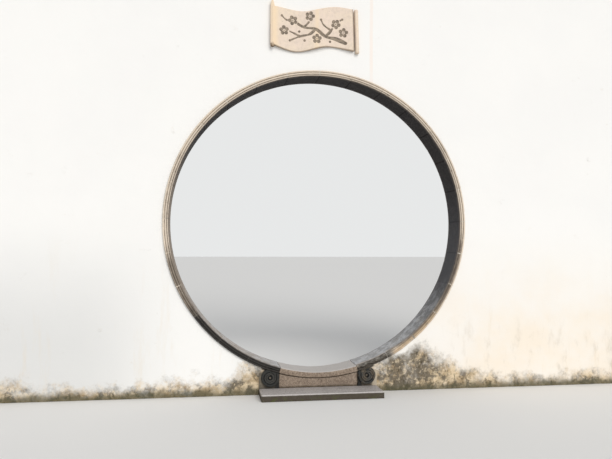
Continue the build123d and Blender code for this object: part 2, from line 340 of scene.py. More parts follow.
def ringTones(f):
    # where on the round a spot is: across and up run from -1 to 1
    p = ringClay
    across = f.calc("DIVIDE", f.x, ringOuter)
    up = f.calc("DIVIDE", f.minus(f.z, ringHeight), ringOuter)
    mottle = f.grain(26, 6, 0.7)
    # lower left of the round: damp blackening and painted shade
    lowLeft = f.times(f.ramp(up, -0.40, -0.74), f.ramp(across, 0.05, -0.2))
    dampAndShade = f.ramp(f.plus(lowLeft, f.times(f.minus(mottle, 0.5), 0.4)), 0.25, 0.75)
    rim = f.ramp(f.reach(), ringOuter - 0.042, ringOuter - 0.014)
    rubbed = f.layers(
        p["rubbedDark"],
        (f.ramp(f.grain(24, 6, 0.72, shift=(2, 2, 0)), 0.4, 0.66), p["rubbedPale"]),
        # painted shade on the outer rim of the rubbed moulding near the bottom, where its corner is lost
        (rim, f.ramp(up, -0.84, -0.895), 0.9, p["rubbedRimShade"]),
    )
    return across, up, mottle, dampAndShade, rim, rubbed


def insideColour(f, across, up):
    p = ringClay
    low = f.ramp(up, -0.3, -0.75)
    front = f.times(f.ramp(f.off(f.y), 0.095, 0.140), f.ramp(f.grain(21, 6, 0.7, shift=(3, 3, 3)), 0.3, 0.55))
    inside = f.layers(
        # painted shade at the top and on the sides, painted light low down and on the left side
        p["insideTopShade"],
        (f.ramp(up, 0.35, -0.25), p["insideSideShade"]),
        (f.ramp(up, -0.35, -0.88), p["trodden"]),
        (f.ramp(across, -0.1, -0.6), f.ramp(up, 0.58, 0.0), 0.75, p["insideLeftLight"]),
        (f.ramp(f.grain(15, 7, 0.75), 0.42, 0.60), low, 0.7, p["paleGrey"]),
        (f.ramp(f.grain(18, 7, 0.75, shift=(4, 4, 1)), 0.52, 0.68), low, 0.6, p["greyPatch"]),
        (front, 0.75, p["frontGrey"]),
    )
    return f.mix(f.ramp(f.grain(9, 6, 0.7), 0.46, 0.75, 0, 0.4), inside, p["faceBeige"], "SOFT_LIGHT")


def ringFinish():
    f = Finish("ringClay", 0.78, 0.3)
    p = ringClay
    across, up, mottle, dampAndShade, rim, rubbed = ringTones(f)
    crown, worn = f.trait("crown"), f.trait("worn")
    broken = f.ramp(f.grain(17, 5, 0.7, shift=(1, 4, 6)), 0.42, 0.60, 0.30, 0.95)
    dull = f.ramp(f.grain(12, 6, 0.7, shift=(6, 1, 3)), 0.35, 0.65)
    right = f.times(f.ramp(across, 0.48, 0.62), f.ramp(up, 0.0, -0.18), f.ramp(rim, 1.0, 0.78))
    left = f.times(f.ramp(across, -0.70, -0.80), f.ramp(up, -0.10, -0.28), 0.85)
    turned = f.times(f.ramp(up, -0.50, -0.66), f.ramp(up, -0.92, -0.86), f.ramp(across, 0.2, 0.35))
    gilt = f.times(turned, f.ramp(f.grain(19, 6, 0.7, shift=(4, 0, 2)), 0.30, 0.5), f.ramp(worn, 0.7, 0.2))
    pits = f.specks(85, 0.22)
    f.bump(f.grain(60, 6, 0.7), 0.003, 0.5)
    f.bump(pits, -0.0015, 0.6)
    colour = f.layers(
        p["faceBrown"],
        # raised beads painted lighter: painted highlight, mixed with random mottle
        (f.ramp(f.plus(f.times(crown, 0.5), f.times(mottle, 0.8)), 0.35, 0.95), p["faceBeige"]),
        # outer rim painted cream except near the bottom: painted highlight
        (rim, f.ramp(up, -0.75, -0.3), 0.75, p["rimHighlight"]),
        # grooves painted darker: painted shade, broken up by noise
        (f.ramp(crown, 0.32, 0.05), broken, p["grooveShade"]),
        (f.ramp(f.trait("tone"), 0.2, 1, 0, 0.3), dull, p["faceDull"]),
        # painted shade on the face at the lower right and the lower left
        (f.calc("MAXIMUM", right, left), f.ramp(mottle, 0.25, 0.55, 0.6, 0.95), p["shadyBrown"]),
        # damp blackening and painted shade at the lower left
        (dampAndShade, 0.97, p["darkDampAndShade"]),
        (worn, 0.92, rubbed),
        (gilt, f.ramp(rim, 0, 0.6, 0.1, 0.6), p["golden"]),
        (f.trait("inside"), insideColour(f, across, up)),
        # pits painted darker: painted shade
        (pits, 0.45, p["grooveShade"]),
    )
    return f.paint(colour, f.ramp(f.grain(30, 4), 0.2, 0.8, 0.68, 0.9))


def puttyFinish():
    f = Finish("jointPutty", 0.9, 0.15)
    p = ringClay
    across, up, _, dampAndShade, rim, rubbed = ringTones(f)
    f.bump(f.grain(150, 4), 0.001, 0.5)
    return f.paint(f.layers(
        p["puttyDull"],
        (f.ramp(f.grain(40, 5), 0.35, 0.65), p["putty"]),
        # outer rim painted cream except near the bottom: painted highlight
        (rim, f.ramp(up, -0.75, -0.3), 0.6, p["rimHighlight"]),
        (f.ramp(f.grain(2.7, 2, shift=(5, 0, 5)), 0.50, 0.56, 0, 0.8), p["puttyPale"]),
        # damp blackening and painted shade at the lower left
        (dampAndShade, 0.95, p["puttyDampAndShade"]),
        (f.trait("worn"), rubbed),
        (f.trait("inside"), insideColour(f, across, up)),
    ))


granite = {
    "sill": {"base": (0.215, 0.16, 0.118), "light": (0.355, 0.28, 0.215), "dark": (0.09, 0.064, 0.047)},
    "step": {"base": (0.36, 0.332, 0.315), "light": (0.50, 0.465, 0.445), "dark": (0.155, 0.138, 0.127)},
    "fleck": (0.70, 0.62, 0.54),
    "worn": (0.66, 0.64, 0.62),
    "grimeAndShade": (0.042, 0.031, 0.017),
    "moss": (0.068, 0.075, 0.022),
}


def graniteFinish(kind):
    f = Finish(kind + "Granite", 0.75, 0.35)
    p = granite[kind]
    ragged = f.times(f.minus(f.grain(17, 6, 0.7), 0.5), f.trait("grimeAndShade"), 1.2)
    grimeAndShade = f.ramp(f.plus(f.trait("grimeAndShade"), ragged), 0.1, 0.9)
    f.bump(f.grain(90, 6, 0.75), 0.002, 0.5)
    colour = f.layers(
        p["base"],
        (f.ramp(f.grain(55, 5, 0.75), 0.4, 0.62), p["light"]),
        (f.specks(95, 0.34), p["dark"]),
        (f.specks(150, 0.28, shift=(1, 1, 1)), 0.5, granite["fleck"]),
        (f.ramp(f.grain(7, 5, 0.65), 0.45, 0.75, 0, 0.4), p["dark"]),
        (f.trait("worn"), 0.8, granite["worn"]),
        # dark brown: grime, and painted shade under the sill's front band
        (grimeAndShade, 0.94, granite["grimeAndShade"]),
    )
    if kind == "step":
        patches = f.times(f.ramp(f.grain(13, 5, 0.7), 0.5, 0.62), f.ramp(f.z, 0.045, 0.02), 0.9)
        colour = f.mix(patches, colour, granite["moss"])
    return f.paint(colour, f.ramp(f.grain(20, 3), 0.3, 0.7, 0.65, 0.85))


carvedClay = {
    "coal": (0.014, 0.015, 0.015),
    "ash": (0.040, 0.040, 0.037),
    "warm": (0.13, 0.105, 0.075),
    "earth": (0.27, 0.225, 0.16),
    "wetEarth": (0.085, 0.070, 0.052),
    "pale": (0.085, 0.081, 0.072),
    "limed": (0.50, 0.43, 0.33),
    "eye": (0.19, 0.158, 0.12),
}


def footFinish():
    f = Finish("carvedClay", 0.8, 0.3)
    p = carvedClay
    mottle = f.grain(45, 6, 0.7)
    warm = f.plus(f.times(f.ramp(f.x, 0.1, 0.3), 0.65), 0.12)
    block = f.layers(
        p["earth"],
        (f.ramp(mottle, 0.4, 0.6), p["wetEarth"]),
        (f.ramp(f.z, 0.10, 0.06), p["wetEarth"]),
        (f.trait("beside"), f.ramp(mottle, 0.3, 0.6, 0.6, 1), p["limed"]),
        # painted shade on the side towards the sill, in the gap between the foot and the sill
        (f.trait("sillSideShade"), 0.93, p["coal"]),
    )
    f.bump(f.grain(120, 6, 0.7), 0.0025, 0.6)
    return f.paint(f.layers(
        p["coal"],
        # raised carving painted lighter: painted highlight, mixed with random mottle
        (f.ramp(f.plus(f.times(f.trait("crown"), 0.55), mottle), 0.5, 1.15), p["ash"]),
        (f.trait("disc"), f.ramp(mottle, 0.3, 0.6, 0.5, 1), p["pale"]),
        (warm, f.ramp(f.grain(22, 5, shift=(2, 0, 3)), 0.45, 0.62), p["warm"]),
        (f.trait("block"), block),
        (f.ramp(f.x, -0.1, -0.3, 0, 0.42), p["coal"]),
        (f.trait("eye"), f.ramp(mottle, 0.35, 0.6, 0.4, 0.9), p["eye"]),
    ))


tabletStone = {
    "cream": (0.83, 0.70, 0.555),
    "pink": (0.80, 0.665, 0.56),
    "weathered": (0.58, 0.49, 0.41),
    "warmHighlight": (0.87, 0.69, 0.48),
    "carved": (0.30, 0.245, 0.185),
    "deep": (0.12, 0.098, 0.075),
    "dirt": (0.22, 0.155, 0.10),
}


def tabletFinish():
    f = Finish("tabletStone", 0.8, 0.2)
    p = tabletStone
    cut = f.plus(f.trait("cut"), f.times(f.minus(f.grain(70, 5), 0.5), 0.5))
    inCut = f.mix(f.ramp(f.grain(48, 5, 0.7, shift=(1, 2, 3)), 0.4, 0.62), p["carved"], p["deep"])
    f.bump(f.grain(130, 6, 0.7), 0.0015, 0.5)
    return f.paint(f.layers(
        p["cream"],
        (f.ramp(f.grain(5, 4), 0.35, 0.65), p["pink"]),
        (f.ramp(f.grain(38, 7, 0.78), 0.42, 0.66, 0, 0.38), p["weathered"]),
        # painted highlight, warm, on the proud fold and left end of the sheet and on the curl
        (f.trait("warmHighlight"), 0.8, p["warmHighlight"]),
        (f.specks(26, 0.10), 0.5, p["dirt"]),
        (f.ramp(cut, 0.2, 0.75, 0, 0.93), inCut),
        # painted shade along the bottom and right edges, on the lower edge faces and low on the curl and the
        # roller
        (f.trait("grimeAndShade"), p["dirt"]),
    ))


copingColours = {
    "tileDark": (0.050, 0.051, 0.055),
    "tileGrey": (0.115, 0.113, 0.110),
    "tileDust": (0.18, 0.17, 0.16),
    "lichen": (0.33, 0.32, 0.26),
    "brickRed": (0.42, 0.27, 0.19),
    "brickPale": (0.58, 0.45, 0.36),
    "brickDull": (0.33, 0.27, 0.23),
    "rain": (0.28, 0.265, 0.24),
    "friezeRain": (0.42, 0.38, 0.33),
    "eavesPlaster": ((0.74, 0.71, 0.66), (0.52, 0.49, 0.44)),
    "ridgePlaster": ((0.70, 0.67, 0.62), (0.42, 0.40, 0.37)),
    "tileMortar": ((0.60, 0.57, 0.51), (0.34, 0.32, 0.28)),
}


def tileFinish():
    f = Finish("greyTile", 0.72, 0.35)
    p = copingColours
    f.bump(f.grain(90, 5, 0.65), 0.0015, 0.5)
    return f.paint(f.layers(
        p["tileDark"],
        (f.ramp(f.grain(14, 6, 0.7), 0.35, 0.7), p["tileGrey"]),
        (f.ramp(f.trait("tone"), 0, 1, 0, 0.5), p["tileDust"]),
        (f.ramp(f.grain(30, 7, 0.75, shift=(2, 5, 1)), 0.6, 0.74), 0.6, p["lichen"]),
    ))


def weatheredFinish(name):
    f = Finish(name, 0.92, 0.12)
    pale, dull = copingColours[name]
    runs = f.ramp(f.grain(9, 6, 0.7, stretch=(2.2, 1, 0.16), shift=(1, 0, 0)), 0.52, 0.75)
    f.bump(f.grain(35, 6, 0.65), 0.003, 0.4)
    return f.paint(f.layers(
        pale,
        (f.ramp(f.grain(4, 5, 0.65, stretch=(1.5, 1, 0.5)), 0.4, 0.72), dull),
        (runs, 0.45, copingColours["rain"]),
    ))


def friezeFinish():
    f = Finish("friezePlaster", 0.92, 0.12)
    runs = f.ramp(f.grain(8, 6, 0.7, stretch=(2.5, 1, 0.15)), 0.5, 0.78)
    f.bump(f.grain(40, 5), 0.002, 0.4)
    return f.paint(f.layers(
        limePlaster["white"],
        (f.ramp(f.grain(2, 4), 0.4, 0.7), limePlaster["chalk"]),
        (runs, f.ramp(f.z, wallTop + 0.06, wallTop + 0.21), 0.6, copingColours["friezeRain"]),
    ))


def stringFinish():
    f = Finish("stringTile", 0.85, 0.2)
    p = copingColours
    f.bump(f.grain(80, 5), 0.0015, 0.5)
    return f.paint(f.layers(
        p["brickRed"],
        (f.ramp(f.grain(30, 5), 0.35, 0.65), p["brickPale"]),
        (f.ramp(f.trait("tone"), 0, 1, 0, 0.5), p["brickDull"]),
        (f.ramp(f.grain(12, 5, shift=(3, 1, 1)), 0.5, 0.68, 0, 0.75), limePlaster["chalk"]),
    ))


finishes = {
    "lime_plaster": plasterFinish(),
    "ring_brick": ringFinish(),
    "putty": puttyFinish(),
    "sill_granite": graniteFinish("sill"),
    "step_granite": graniteFinish("step"),
    "carved_brick": footFinish(),
    "tablet_stone": tabletFinish(),
    "roof_tile": tileFinish(),
    "eaves_plaster": weatheredFinish("eavesPlaster"),
    "ridge_plaster": weatheredFinish("ridgePlaster"),
    "mortar": weatheredFinish("tileMortar"),
    "frieze": friezeFinish(),
    "string": stringFinish(),
}
print("finishes mixed:", len(finishes))


# shared making tools
def soft(value, low, high):
    t = np.clip((np.asarray(value, float) - low) / (high - low), 0, 1)
    return t * t * (3 - 2 * t)


def ease(value, low, high):
    t = min(1.0, max(0.0, (value - low) / (high - low)))
    return t * t * (3 - 2 * t)


def bell(value, middle, width):
    return math.exp(-(((value - middle) / width) ** 2))


def fuzz(x, y, z, scale, octaves=3):
    return noise.fractal(Vector((x * scale, y * scale, z * scale)), 0.9, 2.1, octaves)


def stations(low, high, step, marks=()):
    count = max(2, round((high - low) / step))
    places = list(np.linspace(low, high, count + 1))
    for mark in marks:
        places[int(np.argmin([abs(p - mark) for p in places]))] = mark
    return places


def dress(mesh, name, slotName, nodes=(), finish=None, traits=None, sharpFrom=38):
    for trait, values in (traits or {}).items():
        mesh.attributes.new(trait, "FLOAT", "POINT").data.foreach_set("value", np.asarray(values, np.float32))
    mesh.materials.clear()
    mesh.materials.append(finishes[finish or slotName])
    mesh.polygons.foreach_set("use_smooth", [True] * len(mesh.polygons))
    mesh.set_sharp_from_angle(angle=math.radians(sharpFrom))
    mesh.update()
    piece = addThing(name, mesh)
    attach(piece, "root")
    if nodes:
        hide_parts(*nodes)


def makePiece(name, points, faces, slotName, nodes=(), **looks):
    mesh = bpy.data.meshes.new(name)
    mesh.from_pydata([tuple(p) for p in points], [], faces)
    work = bmesh.new()
    work.from_mesh(mesh)
    bmesh.ops.recalc_face_normals(work, faces=work.faces)
    work.to_mesh(mesh)
    work.free()
    dress(mesh, name, slotName, nodes, **looks)


def sweptFaces(first, width, rings, turned=False):
    # quads between rings of spots, and a face over each end
    faces = []
    for k in range(rings - 1):
        for j in range(width):
            a, b = first + k * width + j, first + k * width + (j + 1) % width
            faces.append((b, a, a + width, b + width) if turned else (a, b, b + width, a + width))
    faces.append(tuple(range(first + width - 1, first - 1, -1)))
    faces.append(tuple(range(first + width * (rings - 1), first + width * rings)))
    return faces


class Heap:
    # gathers many small closed parts into one piece
    def __init__(self):
        self.points, self.faces, self.tones = [], [], []

    def sweep(self, rings, tone=0.5):
        width = len(rings[0])
        self.faces += sweptFaces(len(self.points), width, len(rings))
        for ring in rings:
            self.points += ring
        self.tones += [tone] * (width * len(rings))

    def piece(self, name, slotName, nodes=(), **looks):
        makePiece(name, self.points, self.faces, slotName, nodes, traits={"tone": self.tones}, **looks)


plasterSkin = {
    "columnStep": 0.023,
    "rowStep": 0.036,
    "footRowStep": 0.013,
    "footHeight": 0.52,
    "evenedReach": 0.12,  # how far from the ring the mesh's rows and columns are evened out
    "sway": 0.0018,  # slow hollows of hand-floated plaster
    "swayGrain": 0.9,
    "trowel": 0.0005,
    "trowelGrain": 9,
    "proudest": 0.0012,
    "lost": 0.0075,  # depth of plaster lost to damp
    "lostGrain": 8,
    "cleanBand": 0.035,  # width of the dry strip of plaster along the ring
    "cleanFrom": (0.62, 0.72),  # it fades in between these places, right of the middle
    "dampLow": 0.13,  # usual reach of the damp above the ground
    # how much higher it reaches, where, and how wide: right and left of the gate
    "dampRises": ((0.29, 0.80, 0.36), (0.19, -0.52, 0.20)),
    "dampFade": (-0.12, 0.17),
}


def dampAt(x, z, side):
    s = plasterSkin
    reach = s["dampLow"]
    for rise, middle, wide in s["dampRises"]:
        reach += rise * bell(x, middle, wide)
    reach += 0.07 * noise.noise(Vector((x * 2.3, side, 1.7)))
    reach += 0.05 * noise.noise(Vector((x * 6, z * 6, 4 + side)))
    return ease(reach - z, *s["dampFade"])


def evened(grid, near):
    around = sum(np.roll(grid, step, axis) for axis in (0, 1) for step in (1, -1)) / 4
    return np.where(near, around, grid)


def makePlaster():
    s = plasterSkin
    edge = ringOuter + seatGap
    seat = sillHalf + seatGap
    notch = ringHeight - math.sqrt(edge**2 - seat**2)
    xs = stations(-wallHalf, wallHalf, s["columnStep"], (-seat, seat))
    zs = stations(0, s["footHeight"], s["footRowStep"], (notch,))
    zs += stations(s["footHeight"], wallTop, s["rowStep"])[1:]
    nx, nz = len(xs), len(zs)
    gx, gz = np.meshgrid(xs, zs, indexing="ij")

    # cells inside the round or the sill's place fall away, and the rest is drawn to the round's edge
    mx = (gx[:-1, :-1] + gx[1:, 1:]) / 2
    mz = (gz[:-1, :-1] + gz[1:, 1:]) / 2
    kept = ~((np.hypot(mx, mz - ringHeight) < edge) | ((abs(mx) < seat) & (mz < ringHeight)))
    beside = np.zeros((nx, nz), int)
    for i in (0, 1):
        for j in (0, 1):
            beside[i : nx - 1 + i, j : nz - 1 + j] += kept
    within = np.zeros((nx, nz), bool)
    within[1:-1, 1:-1] = True
    away = np.hypot(gx, gz - ringHeight)
    atSill = (abs(abs(gx) - seat) < 1e-6) & (gz < notch + 1e-6)
    onRound = (beside > 0) & (beside < 4) & within & ~atSill
    gx = np.where(onRound, gx * edge / away, gx)
    gz = np.where(onRound, ringHeight + (gz - ringHeight) * edge / away, gz)
    near = (beside == 4) & (away < edge + s["evenedReach"]) & within
    for _ in range(6):
        gx, gz = evened(gx, near), evened(gz, near)

    spots = [(i, j) for i in range(nx) for j in range(nz) if beside[i, j] > 0]
    index = {spot: k for k, spot in enumerate(spots)}
    count = len(spots)
    points, damp = [], []
    for side in (-1, 1):
        for i, j in spots:
            x, z = float(gx[i, j]), float(gz[i, j])
            off = math.hypot(x, z - ringHeight) - edge
            clean = bell(off, 0, s["cleanBand"]) * ease(x, *s["cleanFrom"])
            wet = dampAt(x, z, side) * (1 - 0.8 * clean)
            depth = s["sway"] * fuzz(x, side, z, s["swayGrain"])
            depth += s["trowel"] * fuzz(x, side, z, s["trowelGrain"])
            depth -= s["lost"] * max(0.0, fuzz(x, side * 2, z, s["lostGrain"], 4) + 0.25) * wet
            free = ease(off, 0, 0.06) * ease(wallTop - z, 0, 0.05)
            points.append((x, side * (wallFace + min(depth, s["proudest"]) * free), z))
            damp.append(wet)
    faces = []
    edges = set()
    for i, j in np.argwhere(kept).tolist():
        a, b, c, d = index[i, j], index[i + 1, j], index[i + 1, j + 1], index[i, j + 1]
        faces += [(a, b, c, d), (d + count, c + count, b + count, a + count)]
        edges.update(((a, b), (b, c), (c, d), (d, a)))
    faces += [(b, a, a + count, b + count) for a, b in sorted(edges) if (b, a) not in edges]
    nodes = ("wall_left", "wall_right", "wall_over_gate")
    makePiece("wallPlaster", points, faces, "lime_plaster", nodes, traits={"damp": damp}, sharpFrom=50)


makePlaster()
print("wall plastered")

ringMould = {
    "bead": 0.007,
    "torus": 0.008,
    "grooveWide": 0.004,
    "grooveRelief": 0.0015,
    "round": 0.012,
    "joint": 0.007,
    "arcStep": 0.0075,
    "eased": 0.0012,  # how far a brick's two ends are rubbed back
    "chipGrain": 21,
    "chipFrom": 0.42,
    "chip": 0.022,
    "deepChip": 0.008,
    "lostCorner": 0.021,
    "lostTurns": (27, 18),  # degrees where the lowest brick's outer corner goes
    "rubGrain": 26,
    "wornFlat": 0.008,  # how far below the lip the worn moulding lies, and its fall towards the rim
    "wornFall": 0.007,
    "wearBehind": 0.25,
    "wornFrom": 13,  # degrees right of straight down where the moulding is most worn
    "wornTo": 52,
}
sillTurn = math.degrees(math.asin(sillHalf / ringOuter))  # half of the sill's share of the round
brickTurn = (360 - 2 * sillTurn) / len(ringNames)
ringClear = ringOuter - 2 * sum(ringMould[k] for k in ("bead", "torus", "grooveWide")) - ringMould["round"]


def arcPoints(centreR, centreY, radius, start, end, count):
    spread = [math.radians(start + (end - start) * k / count) for k in range(count + 1)]
    return [(centreR + radius * math.cos(t), centreY + radius * math.sin(t), math.sin(t)) for t in spread]


def mouldingHalf(inset):
    # radius, distance from the middle of the wall, and how far the spot stands up from the grooves
    m = ringMould
    lip = lipFace - inset
    floor = lip - m["torus"] - m["grooveRelief"]
    beadIn = ringOuter - 2 * m["bead"]
    torusOut = beadIn - m["grooveWide"]
    torusIn = torusOut - 2 * m["torus"]
    roundOut = torusIn - m["grooveWide"]
    half = [(ringOuter, wallFace + out, rise) for out, rise in ((-0.02, 0.3), (0.0, 0.3), (0.009, 0.35))]
    half += arcPoints(ringOuter - m["bead"], lip - m["bead"], m["bead"], 0, 180, 8)
    half += [(beadIn - m["grooveWide"] * k / 2, floor, 0.0) for k in range(3)]
    half += arcPoints(torusOut - m["torus"], lip - m["torus"], m["torus"], 0, 180, 10)
    half += [(torusIn - m["grooveWide"] * k / 2, floor, 0.0) for k in range(3)]
    half += [(roundOut, lip - m["round"] * 0.5, 0.5)]
    half += arcPoints(roundOut, lip - m["round"], m["round"], 90, 180, 6)
    return half


def brickSection(inset=0.0):
    half = mouldingHalf(inset)
    deep = half[-1][1]
    rows = [(r, -y, c) for r, y, c in half]
    rows += [(ringClear + inset, y, 0.5) for y in np.linspace(-deep, deep, 25)[1:-1]]
    rows += [(r, y, c) for r, y, c in reversed(half)]
    rows += [(ringOuter, y, 0.3) for y in np.linspace(wallFace - 0.02, -(wallFace - 0.02), 5)[1:-1]]
    return rows


def ringSpot(r, y, turn):
    # turn is in degrees from straight down, towards the right
    a = math.radians(turn)
    return Vector((r * math.sin(a), y, ringHeight - r * math.cos(a)))


def wearDown(r, y, turn, crown):
    # rubs the moulding down at the lower right of the front, and knocks a few chips off anywhere
    m = ringMould
    spot = ringSpot(r, y, turn)
    side = -1 if y < 0 else 1
    proud = min(1.0, (abs(y) - wallFace) / 0.012)
    rub = fuzz(*spot, m["rubGrain"], 4)
    wear = ease(turn, m["wornFrom"] - 6, m["wornFrom"] + 2) * ease(turn, m["wornTo"], m["wornTo"] - 18)
    wear *= 1.0 if side < 0 else m["wearBehind"]
    chip = max(0.0, fuzz(*(spot + Vector((3, 1, 7))), m["chipGrain"], 3) - m["chipFrom"]) * m["chip"]
    across = (r - ringClear) / (ringOuter - ringClear)
    flat = lipFace - m["wornFlat"] - 0.004 * rub - m["wornFall"] * across
    press = wear * max(0.0, min(1.0, 0.8 + 0.6 * rub))
    depth = abs(y) + min(0.0, flat - abs(y)) * press * proud - min(chip, m["deepChip"]) * proud - 0.0004 * rub
    if side < 0 and turn < 30:
        # the lowest brick has lost its outer corner above the foot
        high, low = m["lostTurns"]
        lost = ease(turn, high + 4 * rub, low) * (0.62 + 0.4 * rub)
        depth -= m["lostCorner"] * ease(across, 0.95 - 0.75 * lost, 1.1 - 0.5 * lost) * proud
    if r < ringClear + 0.012:
        r += 0.004 * wear * (0.6 + rub)
    crown = crown * (1 - 0.5 * press) + 0.28 * press - chip * 40
    return r, side * max(wallFace - 0.001, min(depth, lipFace)), max(0.0, crown), press


def makeRingBrick(number, name):
    m = ringMould
    trim = math.degrees(m["joint"] / 2 / ringOuter)
    start = sillTurn + number * brickTurn + trim
    end = start + brickTurn - 2 * trim
    count = round(math.radians(end - start) * ringOuter / m["arcStep"])
    section = brickSection()
    tone = random.random()
    sunk = random.uniform(0, 0.0012)
    points, crowns, inner, worn = [], [], [], []
    for k in range(count + 1):
        turn = start + (end - start) * k / count
        tips = m["eased"] * (1 - ease(min(k, count - k) / count, 0, 0.05))
        broken = ease(turn, m["wornFrom"] - 4, m["wornFrom"] + 4)
        broken *= ease(turn, m["wornTo"] - 2, m["wornTo"] - 26)
        arris = lipFace - 0.062 + 0.02 * fuzz(turn * 0.09, 0, 3, 1)
        for r, y, crown in section:
            press = 0.0
            within = 1.0 - ease(r - ringClear, 0.002, 0.006)
            within *= 1 - broken * ease(-y, arris, lipFace - 0.022)
            if abs(y) - wallFace > 0.001:
                r, y, crown, press = wearDown(r, y, turn, crown)
                y -= math.copysign(tips + sunk, y)
            elif r < ringClear + 0.001:
                spot = ringSpot(r, y, turn)
                r += max(0.0, 0.0006 + 0.0007 * fuzz(*spot, 11)) + tips
            points.append(ringSpot(r, y, turn))
            crowns.append(crown)
            worn.append(min(1.0, 1.8 * press) * ease(turn, 32, 28.5))
            inner.append(within)
    faces = sweptFaces(0, len(section), count + 1, turned=True)
    traits = {"crown": crowns, "inside": inner, "worn": worn, "tone": [tone] * len(points)}
    makePiece("ringBrick%02d" % (number + 1), points, faces, "ring_brick", [name], traits=traits)


def makePutty():
    section = brickSection(0.0012)
    wide = math.degrees((ringMould["joint"] + 0.003) / 2 / ringOuter)
    points, faces, inner, worn = [], [], [], []
    for number in range(1, len(ringNames)):
        turn = sillTurn + number * brickTurn
        faces += sweptFaces(len(points), len(section), 3, turned=True)
        for edge in (turn - wide, turn, turn + wide):
            for r, y, crown in section:
                press = 0.0
                inner.append(1.0 - ease(r - ringClear, 0.003, 0.007))
                if abs(y) - wallFace > 0.001:
                    r, y, crown, press = wearDown(r, y, edge, crown)
                worn.append(press)
                points.append(ringSpot(min(r, ringOuter - 0.0008), y, edge))
    traits = {"inside": inner, "worn": worn}
    makePiece("ringPutty", points, faces, "ring_brick", finish="putty", traits=traits)


for number, name in enumerate(ringNames):
    makeRingBrick(number, name)
makePutty()
print("ring laid:", len(ringNames), "bricks")

stoneWear = {
    "sillVoxel": 0.0045,
    "stepVoxel": 0.0055,
    "chips": 0.0045,
    "trodden": 0.005,  # hollow of the sill's top where people step
    "wornArris": 0.6,
}


def meshRows(mesh, what):
    rows = np.empty(len(mesh.vertices) * 3)
    mesh.vertices.foreach_get(what, rows)
    return rows.reshape(-1, 3)


def chippedStone(node, voxel, chips):
    # an even mesh of the solid. Stone is only ever lost: spots move inwards, most at the arrises
    copy = addThing(node + "Work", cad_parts[node].data.copy())
    remesh = copy.modifiers.new("evenMesh", "REMESH")
    remesh.mode = "VOXEL"
    remesh.voxel_size = voxel
    ready = copy.evaluated_get(bpy.context.evaluated_depsgraph_get())
    mesh = bpy.data.meshes.new_from_object(ready)
    bpy.data.objects.remove(copy)
    spots, normals = meshRows(mesh, "co"), meshRows(mesh, "normal")
    edges = np.sort(np.abs(normals), axis=1)[:, 1]
    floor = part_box(node)[0].z
    for k, (x, y, z) in enumerate(spots):
        if z > floor + 0.004:
            loss = chips * (0.1 + 1.3 * edges[k]) * max(0.0, 0.35 + fuzz(x, y, z, 24, 4))
            spots[k] -= normals[k] * loss
    return mesh, spots, normals


def setSpots(mesh, spots, node):
    low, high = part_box(node)
    mesh.vertices.foreach_set("co", np.clip(spots, np.array(low), np.array(high)).ravel())


def makeSill():
    w = stoneWear
    mesh, spots, _ = chippedStone("sill_stone", w["sillVoxel"], w["chips"])
    away = np.hypot(spots[:, 0], spots[:, 2] - ringHeight)
    top = soft(away, ringClear + 0.012, ringClear)
    spots[:, 2] -= w["trodden"] * top * np.exp(-((spots[:, 0] / 0.2) ** 2))
    setSpots(mesh, spots, "sill_stone")
    depth = abs(spots[:, 1])
    front = soft(depth, wallFace, wallFace + 0.018)
    worn = soft(away, ringClear + 0.007, ringClear + 0.002) * (0.8 + 0.2 * front)
    past = away - ringOuter
    below = soft(past, 0.012, 0.003) * soft(past, -0.004, 0.001)
    foot = soft(spots[:, 2], 0.085, 0.055) * 0.7
    # painted shade in the groove under the front band; the sill also darker towards the bottom
    traits = {"worn": worn, "grimeAndShade": np.maximum(below * soft(depth, wallFace - 0.004, wallFace), foot)}
    dress(mesh, "sillStone", "sill_granite", ["sill_stone"], traits=traits, sharpFrom=60)


def makeStep(name, node):
    w = stoneWear
    mesh, spots, normals = chippedStone(node, w["stepVoxel"], w["chips"])
    setSpots(mesh, spots, node)
    low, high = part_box(node)
    depth, tall = abs(spots[:, 1]), spots[:, 2]
    outer = max(abs(low.y), abs(high.y))
    arris = soft(outer - depth, 0.022, 0.006) * soft(tall, high.z - 0.010, high.z - 0.003)
    side = 1 - soft(normals[:, 2], 0.25, 0.7)
    grimeAndShade = np.maximum(side * soft(tall, high.z - 0.003, high.z - 0.012), soft(depth, 0.15, 0.125) * 0.6)
    traits = {"worn": arris * w["wornArris"], "grimeAndShade": grimeAndShade}
    dress(mesh, name, "step_granite", [node], traits=traits, sharpFrom=60)


makeSill()
for word in ("Front", "Back"):
    makeStep("step" + word, "step_" + word.lower())
print("sill and steps cut")

footCarving = {
    "voxel": 0.0022,
    "chips": 0.0028,
    "blockProud": 0.0203,  # how far the plain block stands out from the wall
    "radius": 0.075,
    "rise": 0.090,  # the scroll's middle above the step
    "eye": 0.008,
    "eyeReach": 0.022,  # the dark hollow round the eye
    "eyeDeep": 0.007,
    "dish": 0.0035,
    "disc": 0.046,
    # how much more or less than usual each foot is chipped
    "damage": {
        ("Front", "Left"): 0.8,
        ("Front", "Right"): 1.5,
        ("Back", "Left"): 0.8,
        ("Back", "Right"): 0.9,
    },
}


